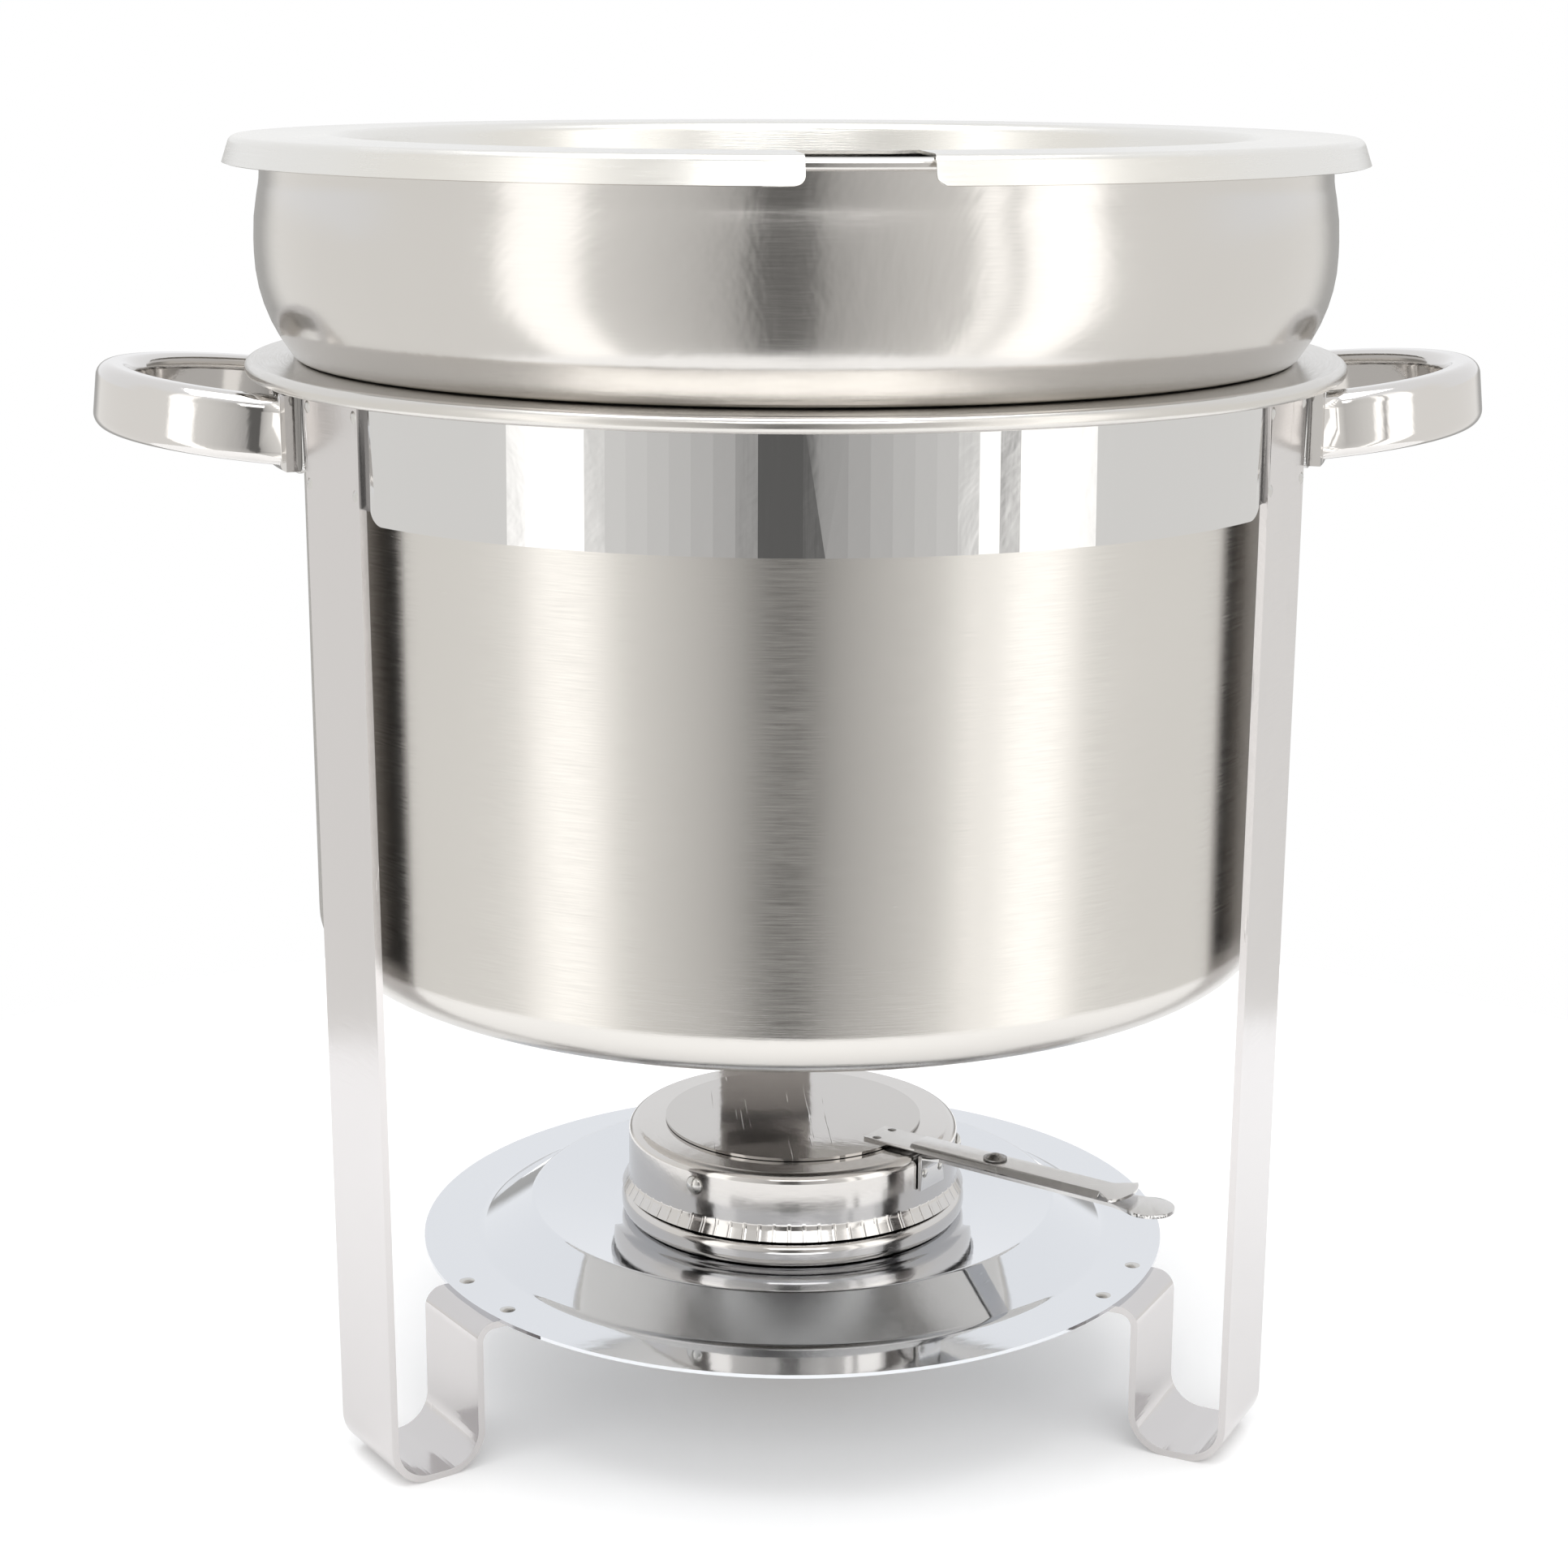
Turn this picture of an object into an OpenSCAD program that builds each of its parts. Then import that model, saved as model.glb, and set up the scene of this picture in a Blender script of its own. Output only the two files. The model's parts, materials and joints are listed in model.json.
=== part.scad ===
// Soup kettle: a three-legged stand holds a water pan, a bulged food pan with a recessed lid,
// and a fuel holder with a swinging damper. Sizes are millimetres, the floor is z = 0,
// the front is -Y and +Z is up.

/* [Lid] */
// Height of the lid's flat rim above the floor
lid_top = 362; // [358:1:370]
// Radius of the lid skirt at its lower edge
lid_r = 156; // [155.5:0.5:158]
// Radius of the recess opening
recess_r = 125; // [118:1:128]
// Depth of the recess below the rim
recess_depth = 24; // [20:1:28]
// Thickness of the lid sheet
lid_sheet = 0.8; // [0.6:0.1:0.9]
// Width of the ladle notch
notch_w = 30; // [24:1:36]

/* [Food pan] */
// Radius of the neck under the rolled rim
neck_r = 145.9; // [145:0.1:146.5]
// Largest radius of the bulge
bulge_r = 148.3; // [147.5:0.1:149]
// Radius of the well that hangs in the water
well_r = 133.5; // [130:0.5:134.5]
// Height of the well's underside above the floor
well_bottom = 176; // [165:1:200]

/* [Water pan] */
// Outer radius of the straight wall
pan_r = 137; // [136:0.5:137.5]
// Height of the flange's upper face above the floor
flange_top = 302.5; // [300:0.5:304]
// Outer radius of the rolled flange edge
flange_r = 152.1; // [151:0.1:154]
// Height of the underside above the floor
pan_bottom = 133.8; // [128:0.1:145]

/* [Stand] */
// Width of each strip leg
leg_w = 31; // [28:1:34]
// Thickness of each strip leg
leg_t = 2; // [1.5:0.5:2]
// Distance from the axis to the outer face of a leg
leg_r = 143; // [142:0.5:143.5]
// Height of the polished front band
band_h = 33.5; // [32:0.5:38]
// Outer radius of the band
band_r = 143.8; // [143.5:0.1:144.5]

/* [Handles] */
// Outer radius of the round handle loop, seen from above
handle_r = 49.5; // [47:0.5:51]
// Degrees by which a handle rises outwards
handle_tilt = 6.3; // [0:0.1:8]
// Height of the handle section
handle_h = 18; // [14:1:18]
// Width of the handle section
handle_t = 10; // [9:0.5:11]

/* [Fuel holder] */
// Outer radius of the round fuel plate
plate_r = 109.7; // [106:0.1:112]
// Height of the plate's outer flange
plate_top = 43.3; // [40:0.1:48]
// Height of the plate's raised ring
ring_top = 53.3; // [51:0.1:56]
// Outer radius of the cover
cover_r = 48.8; // [47:0.1:50]
// Height of the cover's flat ring above the cup's seat
cover_h = 27.5; // [26:0.1:30]
// Radius of the damper disc
disc_r = 37.8; // [37:0.1:39]

/* [Hidden] */
$fn = 128;
arc_step = 6;
sheet = 1;
slip = 0.03;

leg_angles = [210, 330, 90];
leg_inner = leg_r - leg_t;
rivet_y = 13.5;
rivet_z = [flange_top - 8, flange_top - 28];
rivet_r = 0.9;
rivet_head_r = 1.6;
rivet_head_h = 0.5;

foot_r = 11.5;
foot_flat = 5.5;
leg_lean = 1.2;
foot_branch = leg_r - leg_lean - 2 * foot_r - foot_flat;
tab_top = plate_top - sheet;
tab_bend = 3.5;
tab_end = 95;
plate_rivet_x = 103.6;
plate_rivet_y = 12;
plate_rivet_r = 1.4;
plate_rivet_head = 2.2;

band_top = flange_top - sheet;
band_bottom = band_top - band_h;
band_gap = 8.2;
side_gap = 7.2;
side_bottom = band_top - 25.5;
band_tab_z = [band_bottom + 3, band_top - 2.5];
band_corner = 5;

handle_z = flange_top - 15.8;
handle_centre = 144.5;
handle_bend = handle_r - handle_t / 2;
handle_root = 141;
handle_round = 4;
screw_r = 2;
screw_angle = 18;
boss_half = 3.6;
boss_t = 3.5;
boss_h = handle_h + 2;
screw_depth = 4.5;
washer_t = 0.7;
washer_r = 4.4;

bead_r = 2.2;
pan_corner = 13;
rim_bead_r = 1.6;
rim_top = lid_top - lid_sheet;
rim_r = 149.9;

notch_angle = 272.4;
notch_inner = 130;
notch_round = 2.5;
vent_w = 4.5;
vent_inner = 126.8;
recess_floor = lid_top - recess_depth;
grip_half = 44;
grip_rise = 18;
grip_w = 18;
grip_t = 2;
grip_rivet = 36;

hole_r = 45;
seat_top = 48.3;
cup_r = 43.8;
cup_bottom = 20;
cup_neck = 47.6;
cup_bead = 3.4;
cup_bead_h = 7.6;
cover_t = 0.8;
cover_top = seat_top + cover_h;
flare_r = 50.8;
mouth_r = 35;
stud_angles = [231, 351, 111];
stud_z = cover_top - 6.3;
stud_r = 1.6;

damper_angle = 320.2;
arm_x = cover_r + 0.05;
arm_t = 1;
arm_top = cover_top + 0.2;
arm_w = 12;
arm_end = 128;
arm_plate_h = 10.5;
arm_rivet_y = 3.9;
arm_rivet_z = cover_top - 5.3;
disc_t = 0.8;
disc_z = cover_top + 0.2;
lever_z = disc_z + disc_t;
lever_t = 0.8;
lever_w = 11;
lever_crown = 1.6;
lever_start = 29.5;
lever_end = 115.5;
pivot_x = 71;
pivot_r = 1.5;
disc_rivet_x = 33;

// Direction from a to b
function unit(v) = v / norm(v);
function flat(p) = [p[0], p[1]];

// Points that round the corner b of the path a, b, c with radius r
function corner(a, b, c, r) =
    let (u = unit(b - a), v = unit(c - b),
        turn = atan2(u[0] * v[1] - u[1] * v[0], u * v),
        side = sign(turn) * [-u[1], u[0]],
        start = b - r * tan(abs(turn) / 2) * u,
        centre = start + r * side,
        steps = max(2, ceil(abs(turn) / arc_step)))
    r == 0 ? [b] : [for (i = [0:steps]) let (t = turn * i / steps)
        centre - r * [side[0] * cos(t) - side[1] * sin(t), side[0] * sin(t) + side[1] * cos(t)]];

// The line without points that repeat the one before
function distinct(line) = [for (i = [0:len(line) - 1])
    if (i == 0 || norm(line[i] - line[max(i, 1) - 1]) > 0.001) line[i]];

// A path of [x, y, corner radius] as a plain outline with its corners rounded
function rounded(path) = distinct(concat([flat(path[0])],
    [for (i = [1:len(path) - 2]) each corner(flat(path[i - 1]), flat(path[i]),
        flat(path[i + 1]), len(path[i]) > 2 ? path[i][2] : 0)],
    [flat(path[len(path) - 1])]));

// The same outline moved sideways by t, to the right for a positive t
function beside(line, t) = [for (i = [0:len(line) - 1])
    let (u = unit(line[max(i, 1)] - line[max(i, 1) - 1]),
        last = len(line) - 1,
        v = unit(line[min(i + 1, last)] - line[min(i + 1, last) - 1]),
        nu = [u[1], -u[0]],
        nv = [v[1], -v[0]],
        m = unit(nu + nv))
    line[i] + t * m / (m * nu)];

function backwards(line) = [for (i = [len(line) - 1:-1:0]) line[i]];

// Section of a sheet that is t thick and follows a path
module sheet_section(path, t) {
    line = rounded(path);
    polygon(concat(line, backwards(beside(line, t))));
}

// A sheet turned about the Z axis
module turned_sheet(path, t) {
    rotate_extrude() sheet_section(path, t);
}

// A rod or rivet shank along the local X axis
module rod_x(r, x0, x1) {
    translate([x0, 0, 0]) rotate([0, 90, 0]) cylinder(r = r, h = x1 - x0);
}

// A low domed head on a flat face, cut from a sphere
module dome(r, h) {
    ball = (r * r + h * h) / (2 * h);
    rotate_extrude() intersection() {
        translate([0, h - ball]) circle(r = ball);
        square([r, h]);
    }
}

// ---- Stand ----

module strip_leg(angle) {
    rotate([0, 0, angle]) difference() {
        translate([0, leg_w / 2, 0]) rotate([90, 0, 0]) linear_extrude(leg_w)
            sheet_section([
                [leg_r, band_top],
                [leg_r, band_bottom - 8],
                [leg_r - leg_lean, 0, foot_r],
                [foot_branch, 0, foot_r],
                [foot_branch, tab_top - leg_t, tab_bend],
                [tab_end, tab_top - leg_t]], leg_t);
        for (y = [-rivet_y, rivet_y], z = rivet_z)
            translate([0, y, z]) rod_x(rivet_r + slip, leg_inner - 1, leg_r + 1);
        for (y = [-plate_rivet_y, plate_rivet_y])
            translate([plate_rivet_x, y, tab_top - leg_t - 1])
                cylinder(r = plate_rivet_r + slip, h = leg_t + 2);
    }
}

module leg_left() {
    color("gainsboro") strip_leg(leg_angles[0]);
}

module leg_right() {
    color("gainsboro") strip_leg(leg_angles[1]);
}

module leg_back() {
    color("gainsboro") strip_leg(leg_angles[2]);
}

// The flat stepped end of a band that reaches down to z = low, behind the leg at the local X axis
module band_tab(side, low) {
    step_in = 18;
    step_out = 21.2;
    hidden = 14.5;
    step_x = sqrt(band_r * band_r - step_out * step_out) - 0.1;
    tab_low = max(low, band_tab_z[0]);
    translate([0, 0, tab_low]) linear_extrude(band_tab_z[1] - tab_low)
        polygon([[leg_inner - sheet, side * 3], [leg_inner, side * 3],
            [leg_inner, side * step_in], [step_x, side * step_out],
            [step_x - sheet + 0.2, side * step_out], [leg_inner - sheet, side * step_in]]);
    translate([0, 0, band_tab_z[0]]) linear_extrude(tab_low - band_tab_z[0] + 1)
        polygon([[leg_inner - sheet, side * 3], [leg_inner, side * 3],
            [leg_inner, side * hidden], [leg_inner - sheet, side * hidden]]);
}

// Cuts the lower corner of a band round, at the end that faces the leg
module band_corner_cut(side, low, gap) {
    edge = band_r * sin(gap) - 0.3;
    flipped = side < 0 ? 1 : 0;
    mirror([0, flipped, 0]) translate([band_r - 8, -edge - band_corner, low])
        difference() {
            translate([0, 0, -1]) cube([12, band_corner + 1, band_corner + 1]);
            translate([0, 0, band_corner]) rod_x(band_corner, -1, 13);
        }
}

// One band piece from z = low up, centred on the local X axis, with handle screw holes
module band(low, gap, screws) {
    half = 60 - gap;
    difference() {
        union() {
            rotate([0, 0, -half]) rotate_extrude(angle = 2 * half)
                translate([band_r - sheet, low]) square([sheet, band_top - low]);
            for (side = [-1, 1]) rotate([0, 0, side * 60]) band_tab(-side, low);
        }
        for (side = [-1, 1]) rotate([0, 0, side * 60]) {
            band_corner_cut(side, low, gap);
            for (z = rivet_z) translate([0, -side * rivet_y, z])
                rod_x(rivet_r + slip, leg_inner - 3, leg_inner + 1);
        }
        for (angle = screws) rotate([0, 0, angle]) translate([0, 0, handle_z])
            rod_x(screw_r + 0.1, band_r - 4, band_r + 2);
    }
}

module band_front() {
    color("silver") rotate([0, 0, 270]) band(band_bottom, band_gap, []);
}

module band_left() {
    color("silver") rotate([0, 0, 150])
        band(side_bottom, side_gap, [30 - screw_angle, 30 + screw_angle]);
}

module band_right() {
    color("silver") rotate([0, 0, 30])
        band(side_bottom, side_gap, [-30 - screw_angle, screw_angle - 30]);
}

// Twelve rivets that hold the band ends to the legs
module leg_rivets() {
    inner_face = leg_inner - sheet;
    color("lightgray") for (angle = leg_angles) rotate([0, 0, angle])
        for (y = [-rivet_y, rivet_y], z = rivet_z) translate([0, y, z]) union() {
            rod_x(rivet_r, inner_face - rivet_head_h, leg_r + 0.1);
            rod_x(rivet_head_r, inner_face - rivet_head_h, inner_face);
            translate([leg_r, 0, 0]) rotate([0, 90, 0]) dome(rivet_head_r, rivet_head_h);
        }
}

// ---- Handles ----

// Rounded upright section of the handle, centred on its axis
module handle_section() {
    w = handle_t / 2;
    h = handle_h / 2;
    polygon(rounded([[0, -h], [w, -h, handle_round], [w, h, handle_round],
        [-w, h, handle_round], [-w, -h, handle_round], [0, -h]]));
}

// Round loop on the +X side that rises outwards, with a curved boss at each end against the band
module handle_loop() {
    difference() {
        translate([0, 0, handle_z]) union() {
            translate([handle_root, 0, 0]) rotate([0, -handle_tilt, 0]) for (side = [-1, 1]) {
                translate([handle_centre - handle_root, 0, 0])
                    rotate([0, 0, side > 0 ? 0 : -90])
                    rotate_extrude(angle = 90) translate([handle_bend, 0]) handle_section();
                translate([handle_centre - handle_root, side * handle_bend, 0])
                    rotate([0, -90, 0]) rotate([0, 0, 90])
                    linear_extrude(handle_centre - 130) handle_section();
            }
            for (side = [-1, 1]) rotate([0, 0, side * screw_angle - boss_half])
                rotate_extrude(angle = 2 * boss_half)
                translate([band_r - 1, -boss_h / 2])
                square([boss_t + 1, boss_h]);
        }
        translate([0, 0, handle_z - handle_h]) cylinder(r = band_r, h = 2 * handle_h);
        for (side = [-1, 1]) rotate([0, 0, side * screw_angle]) translate([0, 0, handle_z])
            rod_x(screw_r, band_r - 2, band_r + screw_depth);
    }
}

module handle_left() {
    color("whitesmoke") rotate([0, 0, 180]) handle_loop();
}

module handle_right() {
    color("whitesmoke") handle_loop();
}

// Places a copy at each of the four handle screws, local X pointing outwards
module at_screws() {
    for (angle = [-screw_angle, screw_angle, 180 - screw_angle, 180 + screw_angle])
        rotate([0, 0, angle]) translate([band_r - sheet - 0.1, 0, handle_z]) children();
}

module handle_screws() {
    head_h = 1.6;
    head_r = 3.6;
    color("silver") at_screws() union() {
        rod_x(screw_r - slip, -washer_t - 0.1, sheet + screw_depth - 0.6);
        rod_x(head_r, -washer_t - head_h, -washer_t);
    }
}

module handle_washers() {
    color("darkgray") at_screws() difference() {
        rod_x(washer_r, -washer_t, 0);
        rod_x(screw_r + 0.15, -washer_t - 1, 1);
    }
}

// ---- Fuel plate ----

module fuel_plate() {
    foot_x = 93;
    ring_x = 77.5;
    dish_x = 54;
    color("silver") difference() {
        turned_sheet([[plate_r, plate_top], [foot_x, plate_top, 5], [ring_x, ring_top, 1.6],
            [dish_x, seat_top, 12], [hole_r, seat_top]], -sheet);
        for (angle = leg_angles, y = [-plate_rivet_y, plate_rivet_y])
            rotate([0, 0, angle]) translate([plate_rivet_x, y, plate_top - 3])
                cylinder(r = plate_rivet_r + slip, h = 5);
    }
}

// Six rivets that hold the plate to the leg tabs
module plate_rivets() {
    under = tab_top - leg_t;
    color("lightgray") for (angle = leg_angles, y = [-plate_rivet_y, plate_rivet_y])
        rotate([0, 0, angle]) translate([plate_rivet_x, y, 0]) union() {
            translate([0, 0, under - 0.1]) cylinder(r = plate_rivet_r, h = plate_top - under + 0.2);
            translate([0, 0, under - 0.6]) cylinder(r = plate_rivet_head, h = 0.6);
            translate([0, 0, plate_top]) dome(plate_rivet_head, 0.5);
        }
}

// ---- Pans ----

// Start of a path for an edge that is curled under, with its outside at x + r and its top at z
function curl(x, z, r) =
    let (inner = r - sheet, low = z - r - inner, high = z - sheet)
    [[x - inner, z - r], [x - inner, low, inner * 0.99], [x + inner, low, inner * 0.99],
        [x + inner, high, inner * 0.99]];

module water_pan() {
    color("lightgray") turned_sheet(concat(curl(flange_r - bead_r, flange_top, bead_r), [
        [pan_r, flange_top - sheet, 0.3],
        [pan_r, pan_bottom, pan_corner],
        [0, pan_bottom]]), sheet);
}

module food_pan() {
    bulge_turn = 36;
    bulge_curve = 44;
    bulge_low = flange_top + 28.5 - bulge_curve * tan(bulge_turn / 2);
    shoulder_r = bulge_r - (bulge_low - flange_top) * tan(bulge_turn);
    color("silver") turned_sheet(concat(curl(rim_r, rim_top, rim_bead_r), [
        [neck_r + 1.4, rim_top - sheet, 2.4],
        [neck_r, rim_top - 8.7, 20],
        [bulge_r, flange_top + 38, 60],
        [bulge_r, bulge_low, bulge_curve],
        [shoulder_r, flange_top, 3],
        [well_r, flange_top, 1],
        [well_r - 2, well_bottom, 20],
        [0, well_bottom]]), sheet);
}

// ---- Lid ----

// Outline of the ladle notch seen from the front, open at the bottom with rounded corners
module notch_outline() {
    skirt_bottom = lid_top - 7;
    h = 20;
    translate([-notch_w / 2, skirt_bottom - 1]) square([notch_w, h]);
    for (side = [-1, 1]) difference() {
        translate([side * (notch_w / 2 + notch_round / 2), skirt_bottom + notch_round / 2 - 0.5])
            square([notch_round, notch_round + 1], center = true);
        translate([side * (notch_w / 2 + notch_round), skirt_bottom + notch_round])
            circle(r = notch_round);
    }
}

module lid_shell() {
    skirt_bottom = lid_top - 7;
    color("gainsboro") difference() {
        turned_sheet([[lid_r, skirt_bottom], [lid_r - 2.4, lid_top, 2.5],
            [recess_r, lid_top, 3.5], [recess_r - 4, recess_floor, 8], [0, recess_floor]],
            -lid_sheet);
        rotate([0, 0, notch_angle]) {
            translate([notch_inner, 0, 0]) rotate([90, 0, 90]) linear_extrude(40) notch_outline();
            translate([vent_inner, notch_w / 2 - vent_w, lid_top - 5]) cube([6, vent_w, 8]);
        }
        for (x = [-grip_rivet, grip_rivet]) translate([x, 0, recess_floor - 3])
            cylinder(r = rivet_head_r + slip, h = 6);
    }
}

// Strap handle across the recess, lower than the rim
module lid_handle() {
    color("silver") difference() {
        translate([0, grip_w / 2, 0]) rotate([90, 0, 0]) linear_extrude(grip_w)
            sheet_section([[grip_half, recess_floor], [grip_half - 15, recess_floor, 3],
                [grip_half - 19, recess_floor + grip_rise - grip_t, 5],
                [-grip_half + 19, recess_floor + grip_rise - grip_t, 5],
                [-grip_half + 15, recess_floor, 3], [-grip_half, recess_floor]], grip_t);
        for (x = [-grip_rivet, grip_rivet]) translate([x, 0, recess_floor - 3])
            cylinder(r = rivet_head_r + slip, h = 6);
    }
}

module lid_rivets() {
    head_r = 3.2;
    under = recess_floor - lid_sheet;
    over = recess_floor + grip_t;
    color("lightgray") for (x = [-grip_rivet, grip_rivet]) translate([x, 0, 0]) union() {
        translate([0, 0, under - 0.1]) cylinder(r = rivet_head_r, h = over - under + 0.2);
        translate([0, 0, under - 0.7]) cylinder(r = head_r, h = 0.7);
        translate([0, 0, over]) dome(head_r, 1);
    }
}

// ---- Fuel holder ----

module fuel_cup() {
    slot_w = 4.4;
    neck_top = cover_top - cover_t - 1.2;
    bead_top = seat_top + cup_bead_h;
    bead_round = cup_bead - 0.4;
    bead_x = cup_neck + cup_bead;
    color("silver") difference() {
        turned_sheet([[cup_neck, neck_top], [cup_neck, bead_top, 0.3],
            [bead_x, bead_top, bead_round], [bead_x, seat_top, bead_round],
            [cup_r, seat_top, 1], [cup_r, cup_bottom, 8], [0, cup_bottom]], cover_t);
        for (angle = stud_angles) rotate([0, 0, angle])
            translate([cup_neck - 4, -slot_w / 2, stud_z - slot_w / 2])
                cube([8, slot_w, neck_top - stud_z + slot_w]);
    }
}

module holder_cover() {
    flare_z = seat_top + cup_bead_h + 0.6;
    color("silver") difference() {
        turned_sheet([[flare_r, flare_z], [cover_r, flare_z + 3.4, 4], [cover_r, cover_top, 3],
            [mouth_r, cover_top]], -cover_t);
        for (angle = stud_angles) rotate([0, 0, angle]) translate([0, 0, stud_z])
            rod_x(stud_r + slip, cover_r - 3, cover_r + 3);
        rotate([0, 0, damper_angle]) for (y = [-arm_rivet_y, arm_rivet_y])
            translate([0, y, arm_rivet_z]) rod_x(rivet_r + slip, cover_r - 3, cover_r + 3);
    }
}

// Three domed studs, whose tails drop into the slots of the cup's neck
module cover_studs() {
    color("lightgray") for (angle = stud_angles) rotate([0, 0, angle])
        translate([0, 0, stud_z]) union() {
            rod_x(stud_r, cup_neck - 2, cover_r + 0.2);
            translate([cover_r + 0.05, 0, 0]) rotate([0, 90, 0]) dome(2.8, 1.3);
        }
}

// Angle bracket on the side of the cover, with the long fixed arm under the lever
module damper_arm() {
    tongue_r = 7;
    root_w = 9;
    color("silver") rotate([0, 0, damper_angle]) difference() {
        union() {
            translate([arm_x, -arm_w / 2, arm_top - arm_plate_h])
                cube([arm_t, arm_w, arm_plate_h]);
            translate([0, 0, arm_top - arm_t]) linear_extrude(arm_t) {
                polygon([[arm_x, -arm_w / 2], [arm_x + 6, -root_w / 2], [arm_end - 16, -root_w / 2],
                    [arm_end - tongue_r, -tongue_r], [arm_end - tongue_r, tongue_r],
                    [arm_end - 16, root_w / 2], [arm_x + 6, root_w / 2], [arm_x, arm_w / 2]]);
                translate([arm_end - tongue_r, 0]) circle(r = tongue_r);
            }
        }
        translate([pivot_x, 0, arm_top - 3]) cylinder(r = pivot_r + slip, h = 6);
        for (y = [-arm_rivet_y, arm_rivet_y]) translate([0, y, arm_rivet_z])
            rod_x(rivet_r + slip, arm_x - 2, arm_x + 3);
    }
}

module arm_rivets() {
    outer_face = arm_x + arm_t;
    color("lightgray") rotate([0, 0, damper_angle]) for (y = [-arm_rivet_y, arm_rivet_y])
        translate([0, y, arm_rivet_z]) union() {
            rod_x(rivet_r, cover_r - cover_t - 0.05, outer_face + 0.1);
            translate([outer_face, 0, 0]) rotate([0, 90, 0]) dome(1.4, 0.4);
        }
}

module pivot_spacer() {
    color("darkgray") rotate([0, 0, damper_angle]) translate([pivot_x, 0, arm_top])
        difference() {
            cylinder(r = 3.2, h = lever_z + lever_crown - lever_t - arm_top - 0.05);
            translate([0, 0, -1]) cylinder(r = pivot_r + slip, h = 6);
        }
}

module pivot_rivet() {
    lever_face = lever_z + lever_crown + 0.05;
    under = arm_top - arm_t;
    color("darkgray") rotate([0, 0, damper_angle]) translate([pivot_x, 0, 0]) union() {
        translate([0, 0, under - 0.7]) cylinder(r = 2.6, h = 0.7);
        translate([0, 0, under - 0.1]) cylinder(r = pivot_r, h = lever_face - under + 0.5);
        translate([0, 0, lever_face]) cylinder(r = 3.4, h = 0.5);
        translate([0, 0, lever_face + 0.5]) dome(2.7, 1.2);
    }
}

// Crowned strip that carries the disc, with a flat pad and a flared thumb end
module damper_lever() {
    pad_end = 47;
    crown_end = lever_end - 8;
    side = lever_w / 2;
    top = side - 1.6;
    color("gainsboro") rotate([0, 0, damper_angle]) difference() {
        union() {
            translate([lever_start, -side, lever_z])
                cube([pad_end - lever_start, lever_w, lever_t]);
            translate([pad_end - 2, 0, lever_z]) rotate([90, 0, 90])
                linear_extrude(crown_end - pad_end + 2)
                polygon([[-side, 0], [-top, lever_crown], [top, lever_crown], [side, 0],
                    [side - 1.2, 0], [top - 0.4, lever_crown - lever_t],
                    [0.4 - top, lever_crown - lever_t], [1.2 - side, 0]]);
            translate([0, 0, lever_z + lever_crown - lever_t]) linear_extrude(lever_t) {
                polygon([[crown_end - 6, -top], [crown_end, -top], [lever_end - 3, -8],
                    [lever_end - 3, 8], [crown_end, top], [crown_end - 6, top]]);
                intersection() {
                    translate([lever_end - 14, 0]) circle(r = 14);
                    translate([lever_end - 3, -8]) square([4, 16]);
                }
            }
        }
        translate([pivot_x, 0, lever_z - 2]) cylinder(r = pivot_r + 0.06, h = 6);
        for (y = [-arm_rivet_y, arm_rivet_y]) translate([disc_rivet_x, y, lever_z - 2])
            cylinder(r = rivet_r + slip, h = 4);
    }
}

module disc_rivets() {
    color("dimgray") rotate([0, 0, damper_angle]) for (y = [-arm_rivet_y, arm_rivet_y])
        translate([disc_rivet_x, y, 0]) union() {
            translate([0, 0, disc_z]) cylinder(r = rivet_r, h = disc_t + lever_t + 0.1);
            translate([0, 0, lever_z + lever_t]) dome(1.3, 0.3);
        }
}

module damper_disc() {
    color("silver") difference() {
        translate([0, 0, disc_z]) cylinder(r = disc_r, h = disc_t);
        rotate([0, 0, damper_angle]) for (y = [-arm_rivet_y, arm_rivet_y])
            translate([disc_rivet_x, y, disc_z - 1]) cylinder(r = rivet_r + slip, h = 3);
    }
}

leg_left();
leg_right();
leg_back();
band_front();
band_left();
band_right();
leg_rivets();
handle_left();
handle_right();
handle_screws();
handle_washers();
fuel_plate();
plate_rivets();
water_pan();
food_pan();
lid_shell();
lid_handle();
lid_rivets();
fuel_cup();
holder_cover();
cover_studs();
damper_arm();
arm_rivets();
pivot_spacer();
pivot_rivet();
damper_lever();
disc_rivets();
damper_disc();
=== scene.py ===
import json
import math

import bpy
import bmesh
from mathutils import Matrix, Vector


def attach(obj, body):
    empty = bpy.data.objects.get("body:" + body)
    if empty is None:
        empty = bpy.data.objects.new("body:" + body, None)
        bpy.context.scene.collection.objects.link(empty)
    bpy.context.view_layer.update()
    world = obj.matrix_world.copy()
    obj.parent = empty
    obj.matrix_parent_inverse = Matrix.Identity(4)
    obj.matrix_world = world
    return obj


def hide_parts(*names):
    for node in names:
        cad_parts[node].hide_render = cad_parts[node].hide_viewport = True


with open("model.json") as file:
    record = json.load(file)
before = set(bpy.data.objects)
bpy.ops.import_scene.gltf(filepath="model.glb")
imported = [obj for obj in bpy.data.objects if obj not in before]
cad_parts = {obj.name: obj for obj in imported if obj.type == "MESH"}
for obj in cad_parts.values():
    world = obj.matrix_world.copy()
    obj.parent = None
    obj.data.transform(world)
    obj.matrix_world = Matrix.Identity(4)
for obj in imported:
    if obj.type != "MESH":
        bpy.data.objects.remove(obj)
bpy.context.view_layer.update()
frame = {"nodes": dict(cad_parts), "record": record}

nodes = frame["nodes"]
scene = bpy.context.scene
print("frame loaded:", len(nodes), "parts")


def newTree(name):
    material = bpy.data.materials.new(name)
    material.use_nodes = True
    tree = material.node_tree
    tree.nodes.clear()
    return material, tree


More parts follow.
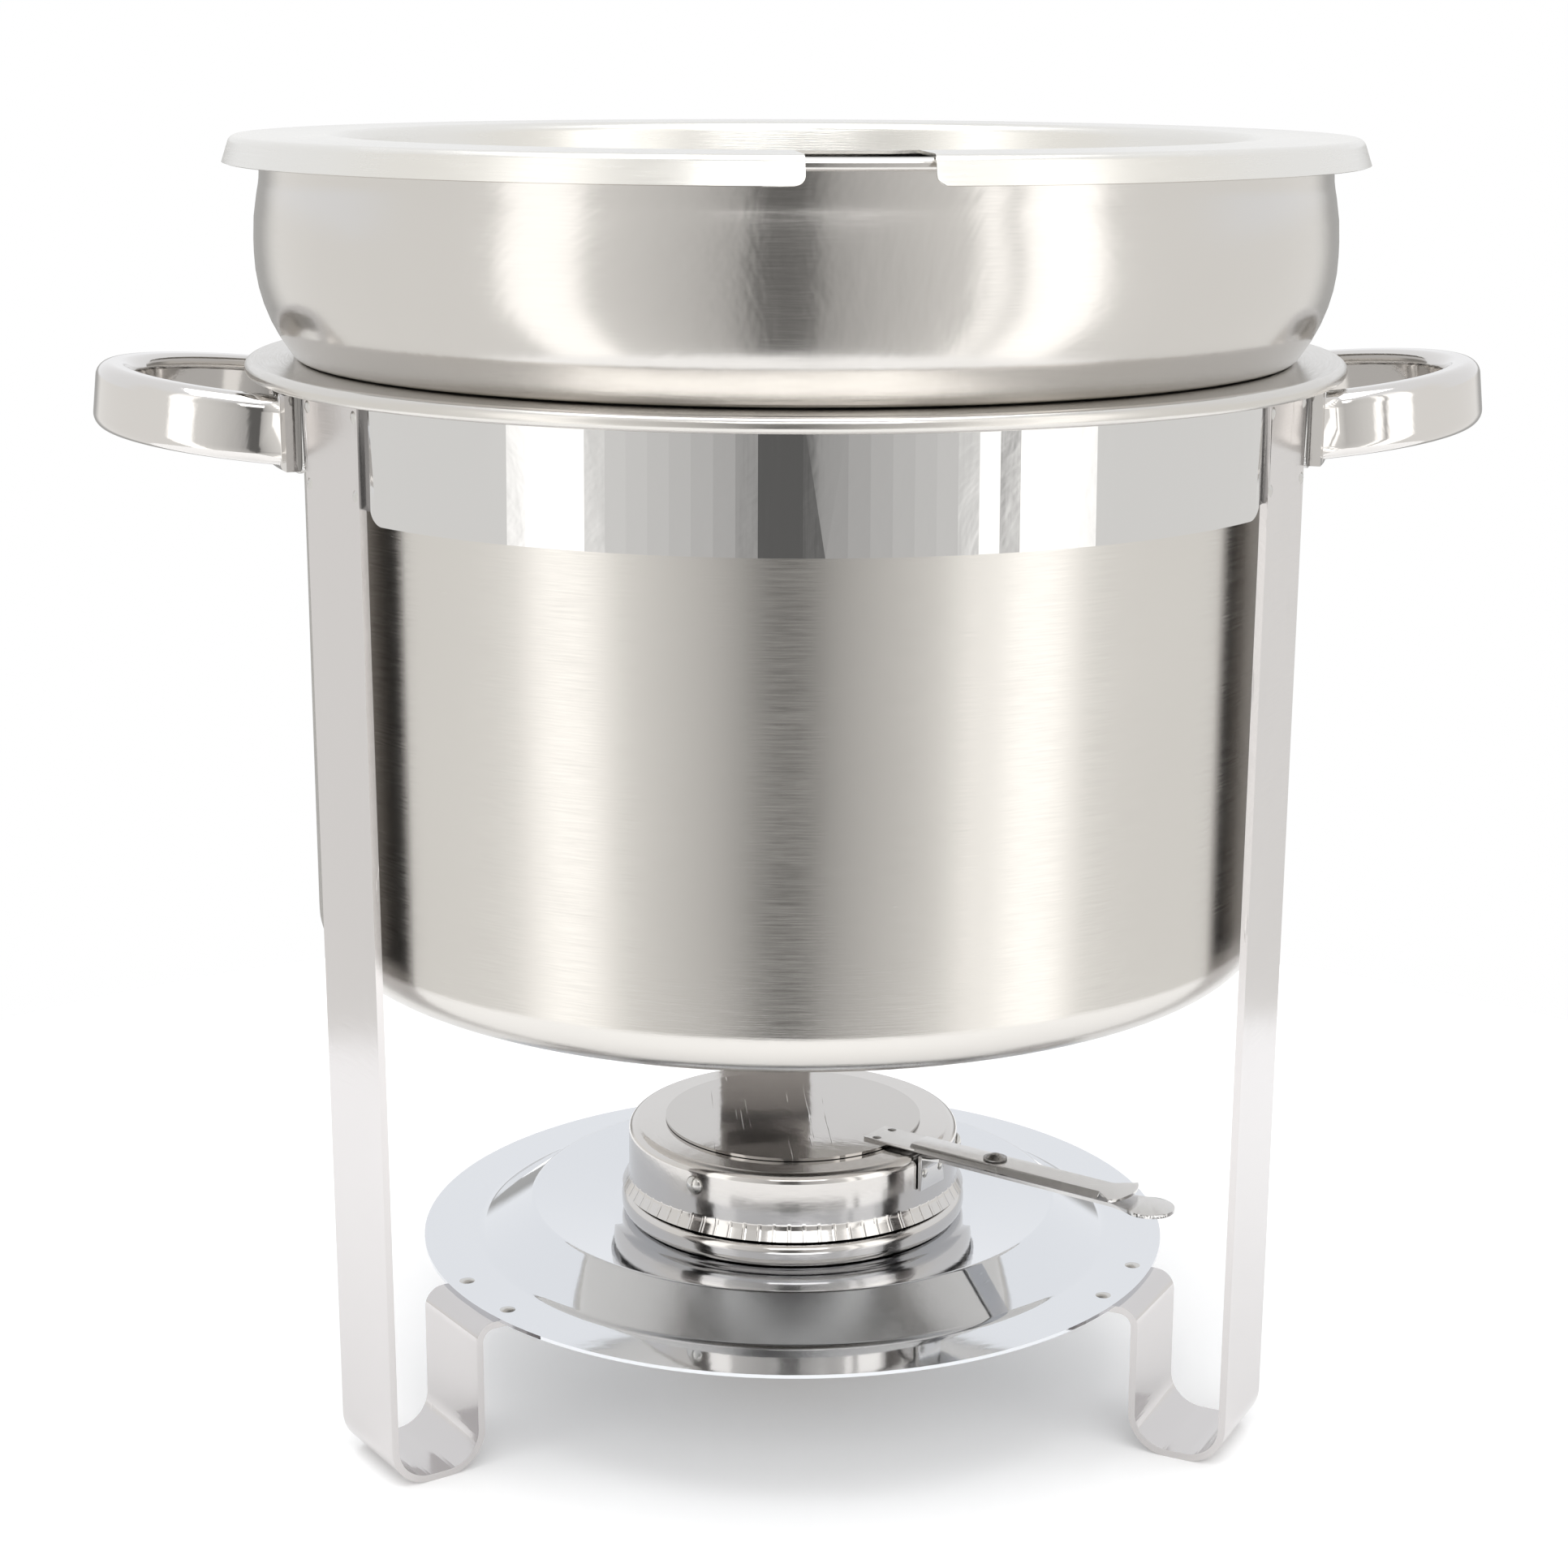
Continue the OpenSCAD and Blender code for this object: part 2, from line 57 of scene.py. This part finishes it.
def put(tree, kind, **settings):
    node = tree.nodes.new(kind)
    for key, value in settings.items():
        if key in node.inputs:
            node.inputs[key].default_value = value
        else:
            setattr(node, key, value)
    return node


def link(tree, source, target):
    tree.links.new(source, target)


def addSocket(group, name, direction, kind, value=None):
    socket = group.interface.new_socket(name=name, in_out=direction, socket_type=kind)
    if value is not None:
        socket.default_value = value


# Fine streaks that run round the Z axis, as a lathe-held abrasive belt leaves them
def makeTurnedGrain():
    group = bpy.data.node_groups.new("turnedGrain", "ShaderNodeTree")
    addSocket(group, "Fineness", "INPUT", "NodeSocketFloat", 2400.0)
    addSocket(group, "Stretch", "INPUT", "NodeSocketFloat", 10.0)
    addSocket(group, "Height", "OUTPUT", "NodeSocketFloat")
    addSocket(group, "Cloud", "OUTPUT", "NodeSocketFloat")
    inlet = put(group, "NodeGroupInput")
    outlet = put(group, "NodeGroupOutput")
    place = put(group, "ShaderNodeTexCoord")
    split = put(group, "ShaderNodeSeparateXYZ")
    link(group, place.outputs["Object"], split.inputs[0])
    around = put(group, "ShaderNodeMath", operation="ARCTAN2")
    link(group, split.outputs["Y"], around.inputs[0])
    link(group, split.outputs["X"], around.inputs[1])
    stretched = put(group, "ShaderNodeMath", operation="MULTIPLY")
    link(group, around.outputs[0], stretched.inputs[0])
    link(group, inlet.outputs["Stretch"], stretched.inputs[1])
    radius = put(group, "ShaderNodeVectorMath", operation="LENGTH")
    flat = put(group, "ShaderNodeCombineXYZ")
    link(group, split.outputs["X"], flat.inputs["X"])
    link(group, split.outputs["Y"], flat.inputs["Y"])
    link(group, flat.outputs[0], radius.inputs[0])
    outward = put(group, "ShaderNodeMath", operation="MULTIPLY")
    link(group, radius.outputs["Value"], outward.inputs[0])
    link(group, inlet.outputs["Fineness"], outward.inputs[1])
    upward = put(group, "ShaderNodeMath", operation="MULTIPLY")
    link(group, split.outputs["Z"], upward.inputs[0])
    link(group, inlet.outputs["Fineness"], upward.inputs[1])
    across = put(group, "ShaderNodeMath", operation="ADD")
    link(group, outward.outputs[0], across.inputs[0])
    link(group, upward.outputs[0], across.inputs[1])
    grainPlace = put(group, "ShaderNodeCombineXYZ")
    link(group, stretched.outputs[0], grainPlace.inputs["X"])
    link(group, across.outputs[0], grainPlace.inputs["Y"])
    noise = put(group, "ShaderNodeTexNoise", Scale=1.0, Detail=3.0, Roughness=0.65)
    link(group, grainPlace.outputs[0], noise.inputs["Vector"])
    link(group, noise.outputs["Fac"], outlet.inputs["Height"])
    cloud = put(group, "ShaderNodeTexNoise", Scale=9.0, Detail=4.0, Roughness=0.55)
    link(group, place.outputs["Object"], cloud.inputs["Vector"])
    link(group, cloud.outputs["Fac"], outlet.inputs["Cloud"])
    return group


# Faint rubbed marks and finger smears on bright metal
def makeHandling():
    group = bpy.data.node_groups.new("handling", "ShaderNodeTree")
    addSocket(group, "Scale", "INPUT", "NodeSocketFloat", 30.0)
    addSocket(group, "Smear", "OUTPUT", "NodeSocketFloat")
    addSocket(group, "Scratch", "OUTPUT", "NodeSocketFloat")
    inlet = put(group, "NodeGroupInput")
    outlet = put(group, "NodeGroupOutput")
    place = put(group, "ShaderNodeTexCoord")
    smear = put(group, "ShaderNodeTexNoise", Detail=5.0, Roughness=0.6, Distortion=0.6)
    link(group, place.outputs["Object"], smear.inputs["Vector"])
    link(group, inlet.outputs["Scale"], smear.inputs["Scale"])
    link(group, smear.outputs["Fac"], outlet.inputs["Smear"])
    turned = put(group, "ShaderNodeMapping")
    turned.inputs["Rotation"].default_value = (0.5, 0.9, 0.3)
    turned.inputs["Scale"].default_value = (900.0, 26.0, 60.0)
    link(group, place.outputs["Object"], turned.inputs["Vector"])
    scratch = put(group, "ShaderNodeTexNoise", Scale=1.0, Detail=2.0)
    link(group, turned.outputs[0], scratch.inputs["Vector"])
    sharp = put(group, "ShaderNodeMapRange")
    sharp.inputs["From Min"].default_value = 0.66
    sharp.inputs["From Max"].default_value = 0.74
    link(group, scratch.outputs["Fac"], sharp.inputs["Value"])
    link(group, sharp.outputs[0], outlet.inputs["Scratch"])
    return group


# Short upright dents pressed round a tube between two heights
def makeCrimps():
    group = bpy.data.node_groups.new("crimps", "ShaderNodeTree")
    addSocket(group, "Count", "INPUT", "NodeSocketFloat", 72.0)
    addSocket(group, "Low", "INPUT", "NodeSocketFloat", 0.0585)
    addSocket(group, "High", "INPUT", "NodeSocketFloat", 0.0615)
    addSocket(group, "Height", "OUTPUT", "NodeSocketFloat")
    inlet = put(group, "NodeGroupInput")
    outlet = put(group, "NodeGroupOutput")
    place = put(group, "ShaderNodeTexCoord")
    split = put(group, "ShaderNodeSeparateXYZ")
    link(group, place.outputs["Object"], split.inputs[0])
    around = put(group, "ShaderNodeMath", operation="ARCTAN2")
    link(group, split.outputs["Y"], around.inputs[0])
    link(group, split.outputs["X"], around.inputs[1])
    turns = put(group, "ShaderNodeMath", operation="MULTIPLY")
    link(group, around.outputs[0], turns.inputs[0])
    link(group, inlet.outputs["Count"], turns.inputs[1])
    wave = put(group, "ShaderNodeMath", operation="COSINE")
    link(group, turns.outputs[0], wave.inputs[0])
    narrow = put(group, "ShaderNodeMapRange", interpolation_type="SMOOTHSTEP")
    narrow.inputs["From Min"].default_value = 0.55
    narrow.inputs["From Max"].default_value = 1.0
    link(group, wave.outputs[0], narrow.inputs["Value"])
    fade = put(group, "ShaderNodeMapRange", interpolation_type="SMOOTHSTEP")
    fade.inputs["To Min"].default_value = 1.0
    fade.inputs["To Max"].default_value = 0.0
    link(group, split.outputs["Z"], fade.inputs["Value"])
    link(group, inlet.outputs["Low"], fade.inputs["From Min"])
    link(group, inlet.outputs["High"], fade.inputs["From Max"])
    both = put(group, "ShaderNodeMath", operation="MULTIPLY")
    link(group, narrow.outputs[0], both.inputs[0])
    link(group, fade.outputs[0], both.inputs[1])
    link(group, both.outputs[0], outlet.inputs["Height"])
    return group


turnedGrain = makeTurnedGrain()
handling = makeHandling()
crimps = makeCrimps()


# Where the noise of the grain and of the smears starts and ends to count
noiseReach = {"grain": (0.3, 0.7), "smear": (0.45, 0.75)}


def setRange(node, start, end):
    node.inputs["From Min"].default_value = start
    node.inputs["From Max"].default_value = end


# Steel in one of its finishes. Grain is how deep the streaks are, polish how sharp reflections are
def makeSteel(name, colour, roughness, spread=0.03, grain=0.0, fineness=2400.0, anisotropy=0.0,
              stretch=10.0, smear=0.03, wave=0.0, waveScale=30.0, scratch=0.0, tint=0.04,
              crimp=0.0):
    material, tree = newTree(name)
    outlet = put(tree, "ShaderNodeOutputMaterial")
    metal = put(tree, "ShaderNodeBsdfPrincipled")
    metal.inputs["Metallic"].default_value = 1.0
    metal.inputs["Anisotropic"].default_value = anisotropy
    link(tree, metal.outputs[0], outlet.inputs[0])
    grainNode = put(tree, "ShaderNodeGroup")
    grainNode.node_tree = turnedGrain
    grainNode.inputs["Fineness"].default_value = fineness
    grainNode.inputs["Stretch"].default_value = stretch
    marks = put(tree, "ShaderNodeGroup")
    marks.node_tree = handling
    marks.inputs["Scale"].default_value = waveScale
    # colour
    shade = put(tree, "ShaderNodeMix", data_type="RGBA")
    dark = [c * (1.0 - tint) for c in colour]
    shade.inputs[6].default_value = (*dark, 1.0)
    shade.inputs[7].default_value = (*colour, 1.0)
    link(tree, grainNode.outputs["Cloud"], shade.inputs[0])
    link(tree, shade.outputs[2], metal.inputs["Base Color"])
    # roughness
    streak = put(tree, "ShaderNodeMapRange")
    setRange(streak, *noiseReach["grain"])
    streak.inputs["To Min"].default_value = roughness - spread
    streak.inputs["To Max"].default_value = roughness + spread
    link(tree, grainNode.outputs["Height"], streak.inputs["Value"])
    rub = put(tree, "ShaderNodeMapRange")
    setRange(rub, *noiseReach["smear"])
    rub.inputs["To Min"].default_value = 0.0
    rub.inputs["To Max"].default_value = smear
    link(tree, marks.outputs["Smear"], rub.inputs["Value"])
    total = put(tree, "ShaderNodeMath", operation="ADD")
    link(tree, streak.outputs[0], total.inputs[0])
    link(tree, rub.outputs[0], total.inputs[1])
    link(tree, total.outputs[0], metal.inputs["Roughness"])
    # relief
    last = None
    if grain:
        relief = put(tree, "ShaderNodeBump", Strength=1.0, Distance=grain)
        link(tree, grainNode.outputs["Height"], relief.inputs["Height"])
        last = relief
    if wave:
        ripple = put(tree, "ShaderNodeBump", Strength=1.0, Distance=wave)
        link(tree, marks.outputs["Smear"], ripple.inputs["Height"])
        if last:
            link(tree, last.outputs[0], ripple.inputs["Normal"])
        last = ripple
    if scratch:
        scrape = put(tree, "ShaderNodeBump", Strength=0.6, Distance=scratch)
        link(tree, marks.outputs["Scratch"], scrape.inputs["Height"])
        if last:
            link(tree, last.outputs[0], scrape.inputs["Normal"])
        last = scrape
    if crimp:
        dents = put(tree, "ShaderNodeGroup")
        dents.node_tree = crimps
        press = put(tree, "ShaderNodeBump", Strength=1.0, Distance=crimp)
        link(tree, dents.outputs["Height"], press.inputs["Height"])
        if last:
            link(tree, last.outputs[0], press.inputs["Normal"])
        last = press
    if last:
        link(tree, last.outputs[0], metal.inputs["Normal"])
    return material


steels = {
    "brushed": makeSteel("brushedPan", (0.635, 0.615, 0.585), 0.205, spread=0.05,
                         grain=0.00002, anisotropy=0.6, smear=0.03, tint=0.06),
    "polished": makeSteel("polishedPan", (0.64, 0.62, 0.595), 0.16, spread=0.03, wave=0.0003,
                          waveScale=14.0, smear=0.06, tint=0.08),
    "mirror": makeSteel("mirrorBand", (0.625, 0.62, 0.615), 0.07, spread=0.03,
                        fineness=30.0, stretch=140.0, smear=0.02, wave=0.0001, waveScale=18.0),
    "plate": makeSteel("mirrorPlate", (0.71, 0.725, 0.75), 0.05, spread=0.015, smear=0.02,
                       wave=0.0001, waveScale=12.0),
    "leg": makeSteel("stripSteel", (0.62, 0.6, 0.595), 0.15, spread=0.03, smear=0.04,
                     wave=0.00006, waveScale=22.0, scratch=0.00002, tint=0.06),
    "chrome": makeSteel("castChrome", (0.66, 0.64, 0.62), 0.07, spread=0.01, wave=0.0001),
    "lid": makeSteel("satinLid", (0.75, 0.735, 0.7), 0.24, spread=0.04, grain=0.00002,
                     anisotropy=0.4),
    "holder": makeSteel("holderSteel", (0.62, 0.6, 0.58), 0.12, spread=0.03, smear=0.04,
                        wave=0.0001, waveScale=20.0),
    "cover": makeSteel("coverSteel", (0.62, 0.6, 0.58), 0.11, spread=0.03, smear=0.04,
                       wave=0.0001, waveScale=20.0, crimp=0.00012),
    "damper": makeSteel("damperSteel", (0.7, 0.69, 0.68), 0.22, spread=0.04, scratch=0.00003),
    "disc": makeSteel("discSteel", (0.54, 0.52, 0.5), 0.06, spread=0.015, smear=0.05,
                      wave=0.0001, waveScale=16.0, scratch=0.00002),
    "rivet": makeSteel("rivetSteel", (0.6, 0.59, 0.57), 0.22),
    "darkRivet": makeSteel("darkRivetSteel", (0.3, 0.29, 0.28), 0.24),
}

finishOf = {
    "leg_left": "leg", "leg_right": "leg", "leg_back": "leg",
    "band_front": "mirror", "band_left": "mirror", "band_right": "mirror",
    "leg_rivets": "rivet", "handle_left": "chrome", "handle_right": "chrome",
    "handle_screws": "rivet", "handle_washers": "rivet",
    "fuel_plate": "plate", "plate_rivets": "rivet",
    "water_pan": "brushed", "food_pan": "polished",
    "lid_shell": "lid", "lid_handle": "damper", "lid_rivets": "rivet",
    "fuel_cup": "holder", "holder_cover": "cover", "cover_studs": "rivet",
    "damper_arm": "damper", "arm_rivets": "rivet", "pivot_spacer": "rivet",
    "pivot_rivet": "darkRivet", "damper_lever": "damper", "disc_rivets": "darkRivet",
    "damper_disc": "disc",
}

bodyOf = {name: body for body, members in frame["record"]["behaviour"]["bodies"].items()
          for name in members}


smoothing = {"seam": 0.000002, "sharpAngle": 32.0}


# A copy of the CAD part with its seams joined and soft shading across its gentle edges
def makeSmooth(name):
    mesh = nodes[name].data.copy()
    mesh.name = name + "Mesh"
    shape = bmesh.new()
    shape.from_mesh(mesh)
    bmesh.ops.remove_doubles(shape, verts=shape.verts, dist=smoothing["seam"])
    shape.to_mesh(mesh)
    shape.free()
    mesh.polygons.foreach_set("use_smooth", [True] * len(mesh.polygons))
    mesh.set_sharp_from_angle(angle=math.radians(smoothing["sharpAngle"]))
    mesh.materials.clear()
    mesh.materials.append(steels[finishOf[name]])
    piece = bpy.data.objects.new(name + "_finished", mesh)
    scene.collection.objects.link(piece)
    weighted = piece.modifiers.new("weighted", "WEIGHTED_NORMAL")
    weighted.keep_sharp = True
    weighted.mode = "FACE_AREA_WITH_ANGLE"
    bpy.context.view_layer.update()
    drawn = piece.evaluated_get(bpy.context.evaluated_depsgraph_get())
    finished = bpy.data.meshes.new_from_object(drawn)
    piece.modifiers.clear()
    piece.data = finished
    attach(piece, bodyOf[name])
    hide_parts(name)


for name in finishOf:
    mesh = nodes[name].data
    mesh.materials.clear()
    mesh.materials.append(steels[finishOf[name]])
    makeSmooth(name)
print("finishes set")


floorSetup = {"radius": 0.45, "sides": 96, "white": 0.95, "roughness": 0.6, "glow": 0.1}


def makeFloor():
    bpy.ops.mesh.primitive_circle_add(vertices=floorSetup["sides"],
                                      radius=floorSetup["radius"], fill_type="NGON")
    floor = bpy.context.object
    floor.name = "floor"
    material, tree = newTree("paleFloor")
    outlet = put(tree, "ShaderNodeOutputMaterial")
    paint = put(tree, "ShaderNodeBsdfPrincipled")
    paint.inputs["Base Color"].default_value = (*[floorSetup["white"]] * 3, 1.0)
    paint.inputs["Roughness"].default_value = floorSetup["roughness"]
    paint.inputs["Emission Color"].default_value = (1.0, 1.0, 1.0, 1.0)
    paint.inputs["Emission Strength"].default_value = floorSetup["glow"]
    link(tree, paint.outputs[0], outlet.inputs[0])
    floor.data.materials.append(material)


def addSoftbox(name, setup):
    light = bpy.data.lights.new(name, "AREA")
    light.shape = "RECTANGLE"
    light.size = setup["width"]
    light.size_y = setup["height"]
    light.energy = setup["power"]
    lamp = bpy.data.objects.new(name, light)
    scene.collection.objects.link(lamp)
    lamp.location = setup["place"]
    facing = Vector(setup["aim"]) - Vector(setup["place"])
    lamp.rotation_euler = facing.to_track_quat("-Z", "Y").to_euler()


lighting = {
    "topBox": {"place": (-0.1, -0.3, 1.8), "aim": (0.0, 0.0, 0.2), "width": 1.8,
               "height": 1.4, "power": 16.0},
    "lowFill": {"place": (0.0, -1.6, 1.2), "aim": (0.0, 0.0, 0.0), "width": 1.2,
                "height": 0.5, "power": 5.0},
}

# The wall round the object, bright at the sides and dim towards the camera. Angles are degrees
# to the right of the direction to the camera, and a level of 1 is plain white
studio = {
    "open": 1.0,
    "besideGap": 0.5,
    "slopeStart": 9.5,
    "slopeEnd": 43.0,
    "slopeStep": 6.0,
    "slopePower": 0.68,
    "blur": 1.4,
    "brightest": 2.0,
    "tint": (1.0, 0.99, 0.97),
    "overhead": (1.02, 1.03, 1.05, 1.0),
}

# Where the even pale white takes over from the wall, as parts of a unit direction
whiteReach = {"overhead": (0.5, 0.85), "behind": (0.1, -0.3), "aboveFloor": (0.0, 0.1)}

# Lit boxes, dark gaps and a dim back, each from one angle to another at a level
panels = {
    "leftBox": (-61.8, -43.8, 1.8),
    "cameraGap": (-8.8, 4.8, 0.16),
    "rightStrip": (37.5, 43.5, 1.8),
    "stand": (43.5, 46.5, 0.45),
    "rightBox": (46.5, 65.0, 1.9),
}
dimBack = {"start": 138.0, "end": 150.0, "level": 0.46}


# Level of the bare wall, which falls off from the sides towards the camera
def slopeLevel(angle):
    reach = studio["slopeEnd"] - studio["slopeStart"]
    share = min(max((abs(angle) - studio["slopeStart"]) / reach, 0.0), 1.0)
    rise = (studio["open"] - studio["besideGap"]) * share ** studio["slopePower"]
    return studio["besideGap"] + rise


# The wall's levels in order of angle, with a short blend at each panel's edge
def wallStops():
    stops = [(-180.0, dimBack["level"]), (-dimBack["end"], dimBack["level"]),
             (-dimBack["start"], studio["open"]), (dimBack["start"], studio["open"]),
             (dimBack["end"], dimBack["level"]), (180.0, dimBack["level"])]
    half = studio["blur"] / 2.0
    edges = sorted({edge for start, end, level in panels.values() for edge in (start, end)})
    for edge in edges:
        for angle in (edge - half, edge + half):
            inside = [level for start, end, level in panels.values() if start < angle < end]
            stops.append((angle, inside[0] if inside else slopeLevel(angle)))
    angle = studio["slopeStart"] + studio["slopeStep"]
    while angle < studio["slopeEnd"] - studio["slopeStep"]:
        stops += [(side * angle, slopeLevel(angle)) for side in (-1, 1)]
        angle += studio["slopeStep"]
    return sorted(stops)


def makeWall(tree):
    place = put(tree, "ShaderNodeTexCoord")
    split = put(tree, "ShaderNodeSeparateXYZ")
    link(tree, place.outputs["Generated"], split.inputs[0])
    swing = math.radians(cameraSetup["swing"])
    ahead = Vector((math.sin(swing), -math.cos(swing)))
    parts = []
    for weights in ((ahead.x, ahead.y), (-ahead.y, ahead.x)):
        alongX = put(tree, "ShaderNodeMath", operation="MULTIPLY")
        link(tree, split.outputs["X"], alongX.inputs[0])
        alongX.inputs[1].default_value = weights[0]
        both = put(tree, "ShaderNodeMath", operation="MULTIPLY_ADD")
        link(tree, split.outputs["Y"], both.inputs[0])
        both.inputs[1].default_value = weights[1]
        link(tree, alongX.outputs[0], both.inputs[2])
        parts.append(both)
    around = put(tree, "ShaderNodeMath", operation="ARCTAN2")
    link(tree, parts[1].outputs[0], around.inputs[0])
    link(tree, parts[0].outputs[0], around.inputs[1])
    share = put(tree, "ShaderNodeMath", operation="MULTIPLY_ADD")
    link(tree, around.outputs[0], share.inputs[0])
    share.inputs[1].default_value = 1.0 / (2.0 * math.pi)
    share.inputs[2].default_value = 0.5
    ramp = put(tree, "ShaderNodeValToRGB")
    marks = ramp.color_ramp.elements
    stops = wallStops()
    marks[0].position = 0.0
    marks[1].position = 1.0
    for angle, level in stops[1:-1]:
        marks.new(angle / 360.0 + 0.5)
    for mark, (angle, level) in zip(marks, stops):
        shade = level / studio["brightest"]
        mark.color = (shade, shade, shade, 1.0)
    link(tree, share.outputs[0], ramp.inputs[0])
    bright = put(tree, "ShaderNodeMix", data_type="RGBA", blend_type="MULTIPLY")
    bright.inputs[0].default_value = 1.0
    white = [studio["brightest"] * part for part in studio["tint"]]
    bright.inputs[7].default_value = (*white, 1.0)
    link(tree, ramp.outputs[0], bright.inputs[6])
    # overhead, and behind above the floor, the room is an even pale white
    rise = put(tree, "ShaderNodeMapRange", interpolation_type="SMOOTHSTEP")
    setRange(rise, *whiteReach["overhead"])
    link(tree, split.outputs["Z"], rise.inputs["Value"])
    behind = put(tree, "ShaderNodeMapRange", interpolation_type="SMOOTHSTEP")
    setRange(behind, *whiteReach["behind"])
    link(tree, parts[0].outputs[0], behind.inputs["Value"])
    upward = put(tree, "ShaderNodeMapRange", interpolation_type="SMOOTHSTEP")
    setRange(upward, *whiteReach["aboveFloor"])
    link(tree, split.outputs["Z"], upward.inputs["Value"])
    backWall = put(tree, "ShaderNodeMath", operation="MULTIPLY")
    link(tree, behind.outputs[0], backWall.inputs[0])
    link(tree, upward.outputs[0], backWall.inputs[1])
    either = put(tree, "ShaderNodeMath", operation="MAXIMUM")
    link(tree, rise.outputs[0], either.inputs[0])
    link(tree, backWall.outputs[0], either.inputs[1])
    room = put(tree, "ShaderNodeMix", data_type="RGBA")
    room.inputs[7].default_value = studio["overhead"]
    link(tree, either.outputs[0], room.inputs[0])
    link(tree, bright.outputs[2], room.inputs[6])
    return room.outputs[2]


def makeLight():
    for name, setup in lighting.items():
        addSoftbox(name, setup)
    world = bpy.data.worlds.new("studio")
    scene.world = world
    world.use_nodes = True
    tree = world.node_tree
    tree.nodes.clear()
    outlet = put(tree, "ShaderNodeOutputWorld")
    room = put(tree, "ShaderNodeBackground")
    link(tree, makeWall(tree), room.inputs["Color"])
    backdrop = put(tree, "ShaderNodeBackground")
    backdrop.inputs["Color"].default_value = (1.0, 1.0, 1.0, 1.0)
    seen = put(tree, "ShaderNodeLightPath")
    pick = put(tree, "ShaderNodeMixShader")
    link(tree, seen.outputs["Is Camera Ray"], pick.inputs[0])
    link(tree, room.outputs[0], pick.inputs[1])
    link(tree, backdrop.outputs[0], pick.inputs[2])
    link(tree, pick.outputs[0], outlet.inputs[0])
    scene.view_settings.view_transform = "Standard"


cameraSetup = {
    "lens": 69.2,
    "distance": 0.8478,
    "height": 0.387,
    "downTilt": 13.87,
    "swing": -3.91,
    "roll": 0.22,
    "shiftX": -0.0065,
}


def makeCamera():
    setup = cameraSetup
    data = bpy.data.cameras.new("camera")
    camera = bpy.data.objects.new("camera", data)
    scene.collection.objects.link(camera)
    scene.camera = camera
    data.lens = setup["lens"]
    data.sensor_width = 36.0
    data.shift_x = setup["shiftX"]
    swing = math.radians(setup["swing"])
    tilt = math.radians(90.0 - setup["downTilt"])
    place = Vector((math.sin(swing), -math.cos(swing), 0.0)) * setup["distance"]
    place.z = setup["height"]
    turn = (Matrix.Rotation(swing, 4, "Z") @ Matrix.Rotation(tilt, 4, "X")
            @ Matrix.Rotation(math.radians(setup["roll"]), 4, "Z"))
    camera.matrix_world = Matrix.Translation(place) @ turn


makeFloor()
makeLight()
makeCamera()
print("floor, light and camera placed")
